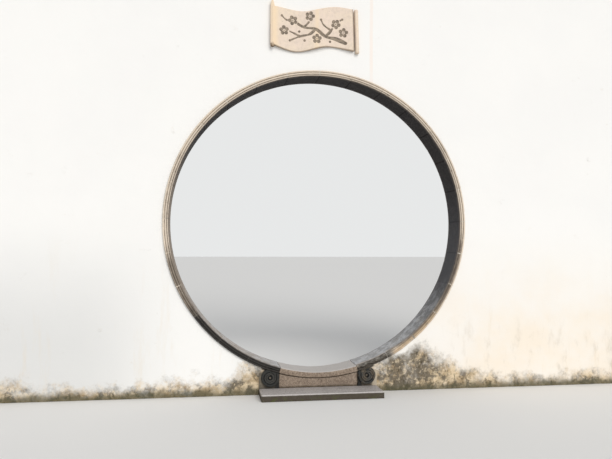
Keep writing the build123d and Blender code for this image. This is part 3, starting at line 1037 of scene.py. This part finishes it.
def makeFoot(name, node, damage):
    c = footCarving
    mesh, spots, _ = chippedStone(node, c["voxel"], c["chips"] * damage)
    low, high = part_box(node)
    side = -1 if low.y < 0 else 1
    hand = -1 if high.x < 0 else 1
    centreX = hand * (min(abs(low.x), abs(high.x)) + c["radius"])
    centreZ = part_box("step_front")[1].z + c["rise"]
    depth = abs(spots[:, 1])
    faceY = max(abs(low.y), abs(high.y))
    away = np.hypot(spots[:, 0] - centreX, spots[:, 2] - centreZ)
    onFace = soft(depth, faceY - 0.016, faceY - 0.010)
    eye = onFace * soft(away, c["eye"] + 0.0015, c["eye"] - 0.001)
    hollow = onFace * soft(away, c["eyeReach"], c["eyeReach"] * 0.65) * (1 - eye)
    spots[:, 1] -= side * (hollow * c["eyeDeep"] + onFace * c["dish"] * soft(away, 0.05, 0.02))
    setSpots(mesh, spots, node)
    blockFace = wallFace + c["blockProud"]
    outwards = hand * (spots[:, 0] - centreX)
    ring = 1 - soft(away, c["eyeReach"] + 0.002, c["eyeReach"] - 0.003)
    traits = {
        "crown": soft(depth, faceY - 0.008, faceY - 0.001) * (1 - hollow),
        "block": 1 - soft(depth, blockFace + 0.0005, blockFace + 0.003),
        "disc": onFace * soft(away, c["disc"], c["disc"] - 0.006) * ring,
        "eye": eye,
        "beside": soft(outwards, 0.035, 0.065) * (1.0 if hand > 0 else 0.3),
        "sillSideShade": soft(outwards, -0.030, -0.050),
    }
    dress(mesh, name, "carved_brick", [node], traits=traits, sharpFrom=60)


for (face, hand), damage in footCarving["damage"].items():
    makeFoot("foot" + face + hand, "_".join(("foot", face, hand)).lower(), damage)
print("feet carved")

tablet = {
    "step": 0.0025,
    "thin": 0.024,
    "thick": 0.040,
    "wave": 0.028,
    "trough": 0.240,  # from the left edge
    "fold": 0.395,
    "crest": 0.550,
    "slant": 0.042,
    "height": 0.345,
    "lean": math.tan(math.radians(1.8)),
    "tipHeight": 0.062,
    "tipWide": 0.046,
    "curl": 0.017,
    "curlThick": 0.0042,
    "curlStart": 200,  # degrees
    "curlTurn": 620,
    "curlTightens": 0.70,
    "curlSteps": 48,
    "rollerSides": 28,
    "rollerUneven": 0.0006,
    "cutDeep": 0.0055,
    "cutEdge": (-0.0012, 0.0022),
    # plum branch: each stroke is its width and its way across the sheet
    "strokes": (
        (0.027, ((0.645, 0.060), (0.560, 0.095), (0.470, 0.110), (0.385, 0.165), (0.285, 0.180),
                 (0.190, 0.235))),
        (0.019, ((0.470, 0.110), (0.520, 0.165), (0.555, 0.225), (0.610, 0.262))),
        (0.019, ((0.385, 0.165), (0.330, 0.120), (0.250, 0.100), (0.165, 0.062))),
        (0.015, ((0.285, 0.180), (0.325, 0.225), (0.335, 0.275))),
        (0.015, ((0.250, 0.100), (0.200, 0.125), (0.135, 0.150))),
        (0.014, ((0.520, 0.165), (0.455, 0.205), (0.430, 0.250))),
        (0.014, ((0.190, 0.235), (0.135, 0.235), (0.095, 0.268))),
    ),
    "blossoms": ((0.625, 0.150, 10), (0.190, 0.235, 40), (0.335, 0.275, 0), (0.115, 0.145, 25),
                 (0.560, 0.222, 60), (0.395, 0.085, 15)),
    "buds": ((0.165, 0.062), (0.095, 0.268), (0.430, 0.250), (0.615, 0.264), (0.245, 0.142), (0.510, 0.068),
             (0.290, 0.066)),
    "petal": 0.0158,
    "petalReach": 0.0265,
    "plain": 0.047,  # bare round that a blossom keeps free of twigs
    "heart": 0.0055,
    "bud": 0.0105,
    # a roller's knob: down from its end, and its share of the roller's radius
    "knob": ((0.0, 0.35), (0.001, 0.62), (0.004, 0.86), (0.010, 0.97), (0.018, 1.0), (0.026, 0.97),
             (0.030, 0.88), (0.034, 0.88), (0.038, 0.94)),
}
sheetLow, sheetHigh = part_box("tablet_sheet")
sheetBottom = sheetHigh.z - tablet["tipHeight"] - tablet["height"]


def curveThrough(*knots):
    # smooth curve through a few points, as a table to read with np.interp
    xs = np.array([k[0] for k in knots])
    ys = np.array([k[1] for k in knots])
    slopes = np.gradient(ys, xs)
    fineX, fineY = [], []
    for k in range(len(xs) - 1):
        t = np.linspace(0, 1, 24, endpoint=False)
        span = xs[k + 1] - xs[k]
        value = (2 * t**3 - 3 * t**2 + 1) * ys[k] + (t**3 - 2 * t**2 + t) * span * slopes[k]
        value += (3 * t**2 - 2 * t**3) * ys[k + 1] + (t**3 - t**2) * span * slopes[k + 1]
        fineX += list(xs[k] + t * span)
        fineY += list(value)
    return np.array(fineX + [xs[-1]]), np.array(fineY + [ys[-1]])


def strokeLine(way):
    spots = [Vector((x, z, 0)) for x, z in way]
    ends = [spots[0] * 2 - spots[1]] + spots + [spots[-1] * 2 - spots[-2]]
    line = []
    for k in range(1, len(ends) - 2):
        a, b, c, d = ends[k - 1 : k + 3]
        for t in np.arange(8) / 8:
            bend = (c - a) * t + (2 * a - 5 * b + 4 * c - d) * t**2 + (3 * b - a - 3 * c + d) * t**3
            line.append(b + 0.5 * bend)
    return np.array([(p.x, p.y) for p in line + [spots[-1]]])


def carvedDepth(px, pz):
    # 0 on the plain face, 1 in the middle of a stroke or a petal
    t = tablet
    cut = np.zeros_like(px)
    for width, way in t["strokes"]:
        line = strokeLine(way)
        for k in range(len(line) - 1):
            (ax, az), (bx, bz) = line[k], line[k + 1]
            dx, dz = bx - ax, bz - az
            share = k / (len(line) - 1)
            half = width * 0.62 * (1 - 0.50 * share) * (1 + 0.18 * math.sin(17 * share + width * 900))
            along = ((px - ax) * dx + (pz - az) * dz) / max(1e-9, dx * dx + dz * dz)
            along = np.clip(along, 0, 1)
            gap = np.hypot(px - ax - along * dx, pz - az - along * dz)
            cut = np.maximum(cut, soft(half - gap, *t["cutEdge"]))
    for cx, cz, turn in t["blossoms"]:
        gap = np.hypot(px - cx, pz - cz)
        plain = soft(t["plain"] - gap, 0, 0.002)
        bloom = soft(t["heart"] - gap, -0.001, 0.0015)
        for k in range(5):
            a = math.radians(turn + 72 * k)
            gap = np.hypot(px - cx - t["petalReach"] * math.cos(a), pz - cz - t["petalReach"] * math.sin(a))
            bloom = np.maximum(bloom, soft(t["petal"] - gap, *t["cutEdge"]))
        cut = cut * (1 - plain) + bloom * plain
    for cx, cz in t["buds"]:
        cut = np.maximum(cut, soft(t["bud"] - np.hypot(px - cx, pz - cz), *t["cutEdge"]))
    return cut


def makeTablet():
    t = tablet
    left, right = sheetLow.x, sheetHigh.x
    top = sheetBottom + t["height"]
    trough, crest = left + t["trough"], left + t["crest"]
    wave, slant = t["wave"], t["slant"]
    topLine = curveThrough((left, top + 0.004), (left + t["tipWide"], top), (trough + slant, top - wave),
                           (crest + slant, top + wave), (right, top + wave / 3))
    lowLine = curveThrough((left, sheetBottom + wave), (trough - slant, sheetBottom - wave),
                           (crest - slant, sheetBottom + wave), (right, sheetBottom))
    bellyLine = curveThrough((left, t["thick"]), (trough, t["thin"]), (left + t["fold"], t["thick"]),
                             (crest, t["thin"]), (right, t["thick"]))
    columns = round((right - left) / t["step"])
    rows = round(t["height"] / t["step"])
    u, v = np.meshgrid(np.linspace(0, 1, columns + 1), np.linspace(0, 1, rows + 1), indexing="ij")
    x = left + u * (right - left)
    tip = np.clip(1 - abs(x - left - t["curl"] * 0.9) / (t["curl"] * 1.1), 0, 1) ** 0.8 * t["tipHeight"]
    z0 = np.interp(x, *lowLine)
    z = z0 + v * (np.interp(x, *topLine) + tip - z0)
    belly = np.interp(x, *bellyLine)
    x = x - u * t["lean"] * (z - sheetBottom)
    cut = carvedDepth(x - left, z - sheetBottom)
    rim = np.minimum(np.minimum(u, 1 - u) * (right - left), np.minimum(v, 1 - v) * t["height"])
    rubbed = 0.003 * (1 - soft(rim, 0, 0.006))
    swell = np.array([fuzz(a, 0, b, 14, 3) for a, b in zip(x.ravel(), z.ravel())]).reshape(x.shape)
    proud = belly - t["cutDeep"] * cut - rubbed - 0.0008 * (1 + swell)

    # the front is a grid, and the back one flat face on its rim
    back = wallFace + seatGap
    points = list(zip(x.ravel(), (-back - proud).ravel(), z.ravel()))
    count, tall = x.size, rows + 1
    rimWay = [i * tall for i in range(columns)] + [columns * tall + j for j in range(rows)]
    rimWay += [i * tall + rows for i in range(columns, 0, -1)] + list(range(rows, 0, -1))
    points += [(points[k][0], -back, points[k][2]) for k in rimWay]
    corners = [i * tall + j for i in range(columns) for j in range(rows)]
    faces = [(a, a + tall, a + tall + 1, a + 1) for a in corners]
    for k, spot in enumerate(rimWay):
        after = (k + 1) % len(rimWay)
        faces.append((rimWay[after], spot, count + k, count + after))
    faces.append(tuple(range(count, count + len(rimWay))))
    # painted highlight along the proud fold and the left end of the sheet
    fold = np.exp(-(((x - left - t["fold"]) / 0.02) ** 2)) * 0.7 + np.exp(-(((x - left - 0.035) / 0.03) ** 2))
    # painted shade: a dark line along the bottom edge and at the right edge beside the roller
    foot = np.maximum(soft(z - z0, 0.006, 0.0) * 0.5, soft((1 - u) * (right - left), 0.010, 0.003) * 0.8)
    none = np.zeros(len(rimWay))
    traits = {
        "cut": np.concatenate([cut.ravel(), none]),
        "warmHighlight": np.concatenate([np.clip(fold, 0, 1).ravel(), none]),
        # painted shade on the lower half of the edge faces
        "grimeAndShade": np.concatenate([foot.ravel(), (v.ravel()[rimWay] < 0.5) * 0.8]),
    }
    makePiece("tabletSheet", points, faces, "tablet_stone", ["tablet_sheet"], traits=traits, sharpFrom=60)


def makeTabletPart(name, rings, nodes, highlightShare, shadeFrom, shadeTo, grimeAndShade):
    heap = Heap()
    heap.sweep(rings)
    count = len(heap.points)
    # painted shade towards the bottom
    shade = soft([p[2] for p in heap.points], shadeFrom, shadeTo) * grimeAndShade
    traits = {"cut": np.zeros(count), "warmHighlight": np.full(count, highlightShare), "grimeAndShade": shade}
    makePiece(name, heap.points, heap.faces, "tablet_stone", nodes, traits=traits)


def makeCurl():
    # the sheet's left end is rolled forward on itself
    t = tablet
    centreX, centreY = sheetLow.x + t["curl"], sheetLow.y + t["curl"]
    outline = []
    for back in (0, t["curlThick"]):
        arc = []
        for k in range(t["curlSteps"] + 1):
            a = math.radians(t["curlStart"] - t["curlTurn"] * k / t["curlSteps"])
            r = t["curl"] * (1 - t["curlTightens"] * k / t["curlSteps"]) - back
            arc.append((centreX + r * math.cos(a), centreY + r * math.sin(a)))
        outline += arc[::-1] if back else arc
    low, high = sheetBottom + 0.001, sheetBottom + t["height"]
    rings = [[(x, y, z) for x, y in outline] for z in np.linspace(low, high, 18)]
    makeTabletPart("tabletCurl", rings, (), 0.9, low + 0.034, low + 0.010, 0.95)


def makeRoller():
    # a plain rod with a shallow turned neck and a rounded knob at each end
    t = tablet
    low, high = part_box("tablet_roller")
    radius = (high.y - low.y) / 2
    length = (high.z - low.z) - radius * t["lean"]
    footX, footZ = high.x - radius, low.z + radius * t["lean"] * 0.5
    spans = list(t["knob"]) + [(s, 0.96) for s in np.linspace(0.05, length - 0.05, 24)]
    spans += [(length - s, r) for s, r in reversed(t["knob"])]
    rings = []
    for along, share in spans:
        ring = []
        middle = footX - t["lean"] * along
        for k in range(t["rollerSides"]):
            a = 2 * math.pi * k / t["rollerSides"]
            r = radius * share
            uneven = 1 + fuzz(middle + r * math.cos(a), r * math.sin(a), along, 30, 3)
            r -= t["rollerUneven"] * uneven * share
            ring.append((middle + r * math.cos(a), (low.y + high.y) / 2 + r * math.sin(a), footZ + along))
        rings.append(ring)
    makeTabletPart("tabletRoller", rings, ["tablet_roller"], 0.15, low.z + 0.03, low.z, 0.3)


makeTablet()
makeCurl()
makeRoller()
print("tablet carved")

coping = {
    "rows": 26,
    "pitch": 28,  # degrees
    "coverRadius": 0.084,
    "coverTaper": 0.0025,
    "tileThick": 0.011,
    "coverSplit": 0.098,  # joint between a row's two cover tiles, down from the ridge
    "coverJoint": 0.003,
    "coverShrink": 0.002,  # most that a cover tile is smaller than its place
    "tileShift": 0.0015,  # most that a tile lies beside or below its place
    "bed": 0.018,
    "bedStep": 0.0192,
    "bedGap": 0.0055,  # between the bed and the inside of a cover tile
    "panEdge": 0.034,
    "panRadius": 0.070,
    "panSag": 0.014,
    "panThick": 0.008,
    "panWide": 0.058,
    "panLift": 0.006,
    "panCourses": 3,
    "panTuck": 0.010,  # how far a pan reaches up under the next, and down over the one below
    "panLap": 0.012,
    "discThick": 0.013,
    "discSides": 48,
    "discSpin": 0.05,
    "ridgeTile": 0.19,
    "ridgeJoint": 0.004,
    "stringTile": 0.24,
    "stringJoint": 0.003,
    "stringThick": 0.030,
    "course": 0.040,
    "corbel": 0.035,
}
# how each course's corners are eased, its mesh's steps, and how uneven it is
courses = {
    "ridgeBand": {"eased": 0.004, "around": 0.02, "along": 0.03, "wobble": 0.003, "scale": 7},
    "eavesCorbels": {"eased": 0.004, "around": 0.03, "along": 0.03, "wobble": 0.002, "scale": 9},
    "friezeBand": {"eased": 0.003, "around": 0.03, "along": 0.04, "wobble": 0.002, "scale": 5},
}
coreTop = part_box("coping_core")[1].z
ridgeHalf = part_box("ridge_base")[1].y + seatGap
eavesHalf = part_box("coping_core")[1].y
slopeTurn = math.radians(coping["pitch"])
slopeLong = (eavesHalf + 0.045 - ridgeHalf) / math.cos(slopeTurn)
rowPitch = 2 * wallHalf / coping["rows"]
coverMiddles = [(row + 0.5 - coping["rows"] / 2) * rowPitch for row in range(coping["rows"])]
panMiddles = [(row - coping["rows"] / 2) * rowPitch for row in range(coping["rows"] + 1)]


def slopeSpot(side, x, down, out):
    # down is along the roof from the ridge, out is square to the roof
    y = side * (ridgeHalf + down * math.cos(slopeTurn) + out * math.sin(slopeTurn))
    return (x, y, coreTop - down * math.sin(slopeTurn) + out * math.cos(slopeTurn))


def ridgeStart(out):
    # where a line of the roof at this height meets the side of the ridge band
    return -out * math.tan(slopeTurn)


def slopeRing(side, spots, start, end, share):
    # spots a share of the way down from start, or from the ridge band where start is None
    ring = []
    for x, out in spots:
        top = ridgeStart(out) if start is None else start
        ring.append(slopeSpot(side, x, top + (end - top) * share, out))
    return ring


def layTiles(name, tiles, nodes=()):
    # each tile comes as its rings
    heap = Heap()
    for rings in tiles:
        heap.sweep(rings, random.random())
    heap.piece(name, "roof_tile", nodes)


def tubeHalf(outer, inner, count=14):
    arc = [math.pi * k / count for k in range(count + 1)]
    loop = [(outer * math.cos(a), outer * math.sin(a)) for a in arc]
    return loop + [(inner * math.cos(a), inner * math.sin(a)) for a in reversed(arc)]


def coverTiles(side):
    c = coping
    for middle in coverMiddles:
        for start, end in ((None, c["coverSplit"]), (c["coverSplit"] + c["coverJoint"], slopeLong)):
            shrink = random.uniform(0, c["coverShrink"])
            shift = random.uniform(-c["tileShift"], c["tileShift"])
            sunk = random.uniform(0, c["tileShift"])
            rings = []
            for k in range(5):
                outer = c["coverRadius"] - shrink - c["coverTaper"] + c["coverTaper"] * k / 4
                loop = tubeHalf(outer, outer - c["tileThick"])
                spots = [(middle + shift + u, max(0.001, v - sunk)) for u, v in loop]
                rings.append(slopeRing(side, spots, start, end, k / 4))
            yield rings


def panTiles(side):
    c = coping
    for middle in panMiddles:
        low, high = max(-wallHalf, middle - c["panWide"]), min(wallHalf, middle + c["panWide"])
        xs = np.linspace(low, high, 11)
        for course in range(c["panCourses"]):
            start = None if course == 0 else course * slopeLong / c["panCourses"] - c["panTuck"]
            end = min((course + 1) * slopeLong / c["panCourses"] + c["panLap"], slopeLong - 0.003)
            rings = []
            for k in range(3):
                lift = c["panLift"] * k / 2 - 0.004
                rise = c["panEdge"] + c["panRadius"] - c["panSag"]
                level = [rise - math.sqrt(c["panRadius"] ** 2 - (x - middle) ** 2) + lift for x in xs]
                both = list(zip(xs, level))
                both += [(x, n - c["panThick"]) for x, n in reversed(both)]
                rings.append(slopeRing(side, both, start, end, k / 2))
            yield rings


dripOutline = (
    (-0.060, 0.044), (-0.050, 0.033), (-0.030, 0.024), (0.0, 0.021), (0.030, 0.024), (0.050, 0.033),
    (0.060, 0.044), (0.062, 0.018), (0.055, -0.008), (0.040, -0.024), (0.022, -0.034), (0.010, -0.044),
    (0.0, -0.051), (-0.010, -0.044), (-0.022, -0.034), (-0.040, -0.024), (-0.055, -0.008), (-0.062, 0.018),
)
dripRims = ((0.0, 0.97), (0.0015, 1.0), (0.0085, 1.0), (0.010, 0.97), (0.010, 0.80), (0.0078, 0.76))


def dripTiles(side):
    # tongue tiles that throw the water clear, one under each pan, a half one at each end of the wall
    for row, middle in enumerate(panMiddles):
        outline = dripOutline
        if row in (0, coping["rows"]):
            outline = [(u, n) for u, n in dripOutline if (u >= 0 if row == 0 else u <= 0)]
        rings = []
        for depth, grow in dripRims:
            ring = []
            for u, n in outline:
                down = slopeLong - 0.012 + depth + 0.55 * max(0.0, -0.015 - n * grow)
                ring.append(slopeSpot(side, middle + u * grow, down, n * grow))
            rings.append(ring)
        yield rings


discRadii = (0.084, 0.0835, 0.0815, 0.078, 0.0705, 0.068, 0.064, 0.058, 0.050, 0.042, 0.034, 0.026, 0.018,
             0.013, 0.008)


def discFace(r, a):
    # raised rim, eight plain leaves and a small boss
    rim = 0.004 * ease(r, 0.0685, 0.071) * (1 - ease(r, 0.081, 0.084))
    leaf = 0.003 * ease(math.cos(8 * a), -0.55, 0.35) * ease(r, 0.017, 0.024) * (1 - ease(r, 0.052, 0.062))
    return rim + leaf + 0.0035 * (1 - ease(r, 0.010, 0.016))


def endDiscs(side):
    # a round plate closes each row of covers
    front = slopeLong + coping["discThick"] - 0.005
    around = [2 * math.pi * k / coping["discSides"] for k in range(coping["discSides"])]
    for middle in coverMiddles:
        spin = random.uniform(-coping["discSpin"], coping["discSpin"])
        sunk = random.uniform(0, coping["tileShift"])

        def spot(r, a, down):
            return slopeSpot(side, middle + r * math.cos(a), down, r * math.sin(a) - sunk)

        rings = [[spot(discRadii[1], a, slopeLong) for a in around]]
        rings += [[spot(r, a, front + discFace(r, a + spin)) for a in around] for r in discRadii]
        yield rings


def makeMortarBed(side, name):
    c = coping
    heap = Heap()
    body = c["coverRadius"] - c["tileThick"] - c["bedGap"]
    rings = []
    for x in stations(-wallHalf, wallHalf, c["bedStep"]):
        u = ((x / rowPitch) % 1.0 - 0.5) * rowPitch  # distance from the middle of the nearest cover row
        out = max(c["bed"], math.sqrt(max(0.0, body**2 - u * u)))
        end = slopeLong - 0.014 + 0.0015 * fuzz(x, side, 0, 20)
        top = ridgeStart(out)
        ring = [slopeSpot(side, x, ridgeStart(0.002), 0.002)]
        ring += [slopeSpot(side, x, top + (end - top) * k / 6, out) for k in range(7)]
        ring += [slopeSpot(side, x, end, 0.002)]
        rings.append(ring)
    heap.sweep(rings)
    heap.piece(name, "roof_tile", finish="mortar")


def easedLoop(corners, size):
    # cuts each corner of a closed outline with a short curve
    loop = []
    for k, corner in enumerate(corners):
        here = Vector(corner)
        before = Vector(corners[k - 1]) - here
        after = Vector(corners[(k + 1) % len(corners)]) - here
        start = here + before.normalized() * min(size, before.length / 3)
        end = here + after.normalized() * min(size, after.length / 3)
        loop += [tuple(start), tuple(here * 0.5 + (start + end) * 0.25), tuple(end)]
    return loop


def finerLoop(loop, step):
    fine = []
    for k, spot in enumerate(loop):
        here, after = Vector(spot), Vector(loop[(k + 1) % len(loop)])
        count = max(1, round((after - here).length / step))
        fine += [tuple(here.lerp(after, i / count)) for i in range(count)]
    return fine


def unevenRun(heap, loop, xs, wobble, scale, tone=0.5, seed=0.0):
    # a length of masonry along the wall: the outline pulls in here and there, never out
    rings = []
    for x in xs:
        ring = []
        for y, z in loop:
            pull = wobble * (0.5 + 0.5 * fuzz(x, y + seed, z, scale))
            drop = wobble * (0.5 + 0.5 * fuzz(x, y, z + 5 + seed, scale))
            ring.append((x, y - math.copysign(pull, y) if abs(y) > 0.03 else y, z - drop * 0.5))
        rings.append(ring)
    heap.sweep(rings, tone)


def makeCourse(name, slotName, node, corners, finish=None):
    s = courses[name]
    heap = Heap()
    loop = finerLoop(easedLoop(corners, s["eased"]), s["around"])
    unevenRun(heap, loop, stations(-wallHalf, wallHalf, s["along"]), s["wobble"], s["scale"])
    heap.piece(name, slotName, [node], finish=finish)


def tileSpans(length, joint):
    # start and end of each tile of a row along the wall
    count = round(2 * wallHalf / length)
    starts = [-wallHalf + 2 * wallHalf * k / count for k in range(count)]
    return [(start, start + 2 * wallHalf / count - joint) for start in starts]


def ridgeTiles(radius, seat):
    c = coping
    for start, end in tileSpans(c["ridgeTile"], c["ridgeJoint"]):
        shrink = random.uniform(0.0013, 0.003)
        lean = random.uniform(-0.0012, 0.0012)
        rings = []
        for i in range(5):
            x = start + (end - start) * i / 4
            outer = radius - shrink - 0.004 * (1 - i / 4)
            rings.append([(x, u + lean, seat + v) for u, v in tubeHalf(outer, outer - c["tileThick"], 18)])
        yield rings


def makeRidge():
    low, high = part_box("ridge_cap")
    radius, seat = high.y, low.z
    layTiles("ridgeTiles", ridgeTiles(radius, seat), ["ridge_cap"])
    core = Heap()
    inner = radius - coping["tileThick"] - 0.008
    arc = [math.pi * k / 14 for k in range(15)]
    loop = [(inner * math.cos(a), seat + inner * math.sin(a)) for a in arc] + [(0.0, seat)]
    core.sweep([[(x, y, z) for y, z in loop] for x in stations(-wallHalf + 0.003, wallHalf - 0.003, 0.1)])
    core.piece("ridgeMortar", "roof_tile", finish="mortar")

    low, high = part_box("ridge_base")
    corners = [(low.y, low.z), (high.y, low.z), (high.y, high.z), (low.y, high.z)]
    makeCourse("ridgeBand", "ridge_plaster", "ridge_base", corners)


def makeEaves():
    c = coping
    low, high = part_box("coping_core")
    inner = high.y - c["corbel"]
    first, second = low.z + c["course"], low.z + 2 * c["course"]
    corners = [(-inner, low.z), (inner, low.z), (inner, first), (high.y, first), (high.y, second)]
    corners += [(ridgeHalf, high.z)]
    corners += [(-y, z) for y, z in corners[:1:-1]]
    makeCourse("eavesCorbels", "eaves_plaster", "coping_core", corners)

    low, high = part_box("frieze")
    face = wallFace + 0.006
    stringTop = wallTop + c["stringThick"]
    corners = [(-face, stringTop), (face, stringTop), (face, high.z), (-face, high.z)]
    makeCourse("friezeBand", "lime_plaster", "frieze", corners, finish="frieze")

    string = Heap()
    for k, (start, end) in enumerate(tileSpans(c["stringTile"], c["stringJoint"])):
        out = high.y - random.uniform(0, 0.002)
        corners = [(-out, wallTop), (out, wallTop), (out, stringTop), (-out, stringTop)]
        xs = np.linspace(start, end, 7)
        unevenRun(string, easedLoop(corners, 0.003), xs, 0.0015, 12, random.random(), k)
    string.piece("stringTiles", "lime_plaster", finish="string")


for side, word in ((-1, "Front"), (1, "Back")):
    layTiles("coverTiles" + word, coverTiles(side), ["tile_slope_" + word.lower()])
    layTiles("panTiles" + word, panTiles(side))
    layTiles("dripTiles" + word, dripTiles(side))
    layTiles("endDiscs" + word, endDiscs(side))
    makeMortarBed(side, "mortarBed" + word)
makeRidge()
makeEaves()
print("coping tiled")
